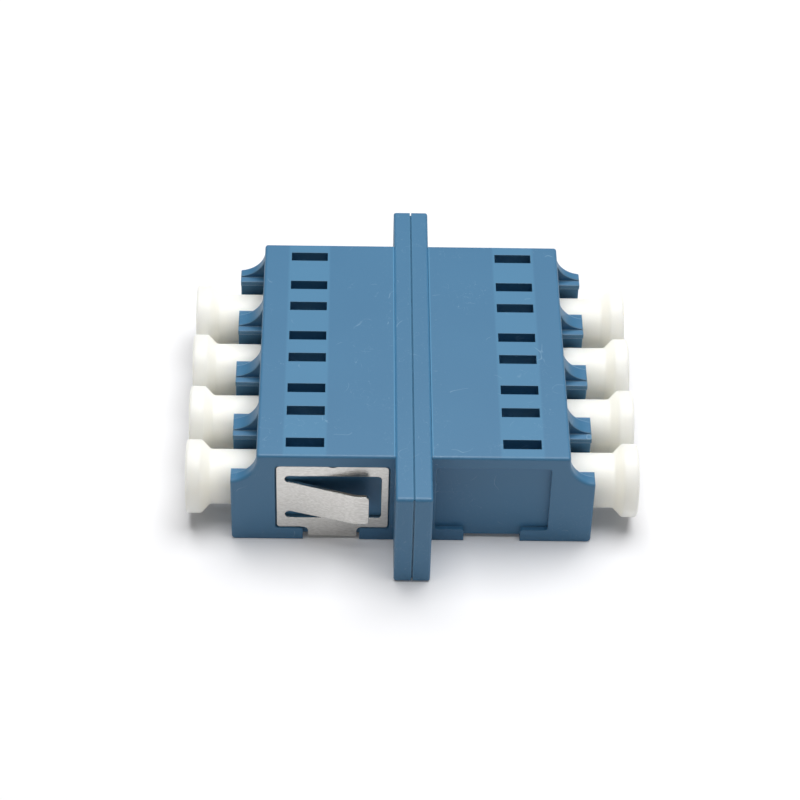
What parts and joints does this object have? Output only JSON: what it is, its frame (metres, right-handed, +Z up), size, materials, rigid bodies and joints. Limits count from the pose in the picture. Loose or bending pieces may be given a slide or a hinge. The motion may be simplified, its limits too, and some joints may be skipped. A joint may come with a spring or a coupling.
{
  "type": "lc fibre adapter",
  "caption": "Flanged fibre-optic adapter of welded plastic halves, with a row of latched plug ports on each face, sprung steel panel clip, ceramic sleeves and pull-off dust caps.",
  "frame": {"origin": "centre of the bounding box on the plane of the body's underside, where the two halves meet", "axes": "+X along the optical axes, away from the half with the clip; +Y across the row of ports; +Z up, the side with the latch windows"},
  "size_m": [0.0362, 0.0348, 0.0093],
  "materials": {
    "blue_housing": "satin moulded",
    "clip_steel": "satin sheet",
    "sleeve_ceramic": "ground",
    "cap_plastic": "soft moulded"
  },
  "bodies": {
    "adapter": {"housing_left": "blue_housing", "housing_right": "blue_housing", "mounting_clip": "clip_steel", "split_sleeve_1": "sleeve_ceramic", "split_sleeve_2": "sleeve_ceramic", "split_sleeve_3": "sleeve_ceramic", "split_sleeve_4": "sleeve_ceramic"},
    "cap_left_1": {"dust_cap_left_1": "cap_plastic"},
    "cap_left_2": {"dust_cap_left_2": "cap_plastic"},
    "cap_left_3": {"dust_cap_left_3": "cap_plastic"},
    "cap_left_4": {"dust_cap_left_4": "cap_plastic"},
    "cap_right_1": {"dust_cap_right_1": "cap_plastic"},
    "cap_right_2": {"dust_cap_right_2": "cap_plastic"},
    "cap_right_3": {"dust_cap_right_3": "cap_plastic"},
    "cap_right_4": {"dust_cap_right_4": "cap_plastic"}
  },
  "joints": [
    {"name": "cap_left_1_pull", "type": "slide", "parent": "adapter", "child": "cap_left_1", "axis": [-1, 0, 0], "range_m": [0, 0.02]},
    {"name": "cap_left_2_pull", "type": "slide", "parent": "adapter", "child": "cap_left_2", "axis": [-1, 0, 0], "range_m": [0, 0.02]},
    {"name": "cap_left_3_pull", "type": "slide", "parent": "adapter", "child": "cap_left_3", "axis": [-1, 0, 0], "range_m": [0, 0.02]},
    {"name": "cap_left_4_pull", "type": "slide", "parent": "adapter", "child": "cap_left_4", "axis": [-1, 0, 0], "range_m": [0, 0.02]},
    {"name": "cap_right_1_pull", "type": "slide", "parent": "adapter", "child": "cap_right_1", "axis": [1, 0, 0], "range_m": [0, 0.02]},
    {"name": "cap_right_2_pull", "type": "slide", "parent": "adapter", "child": "cap_right_2", "axis": [1, 0, 0], "range_m": [0, 0.02]},
    {"name": "cap_right_3_pull", "type": "slide", "parent": "adapter", "child": "cap_right_3", "axis": [1, 0, 0], "range_m": [0, 0.02]},
    {"name": "cap_right_4_pull", "type": "slide", "parent": "adapter", "child": "cap_right_4", "axis": [1, 0, 0], "range_m": [0, 0.02]}
  ]
}
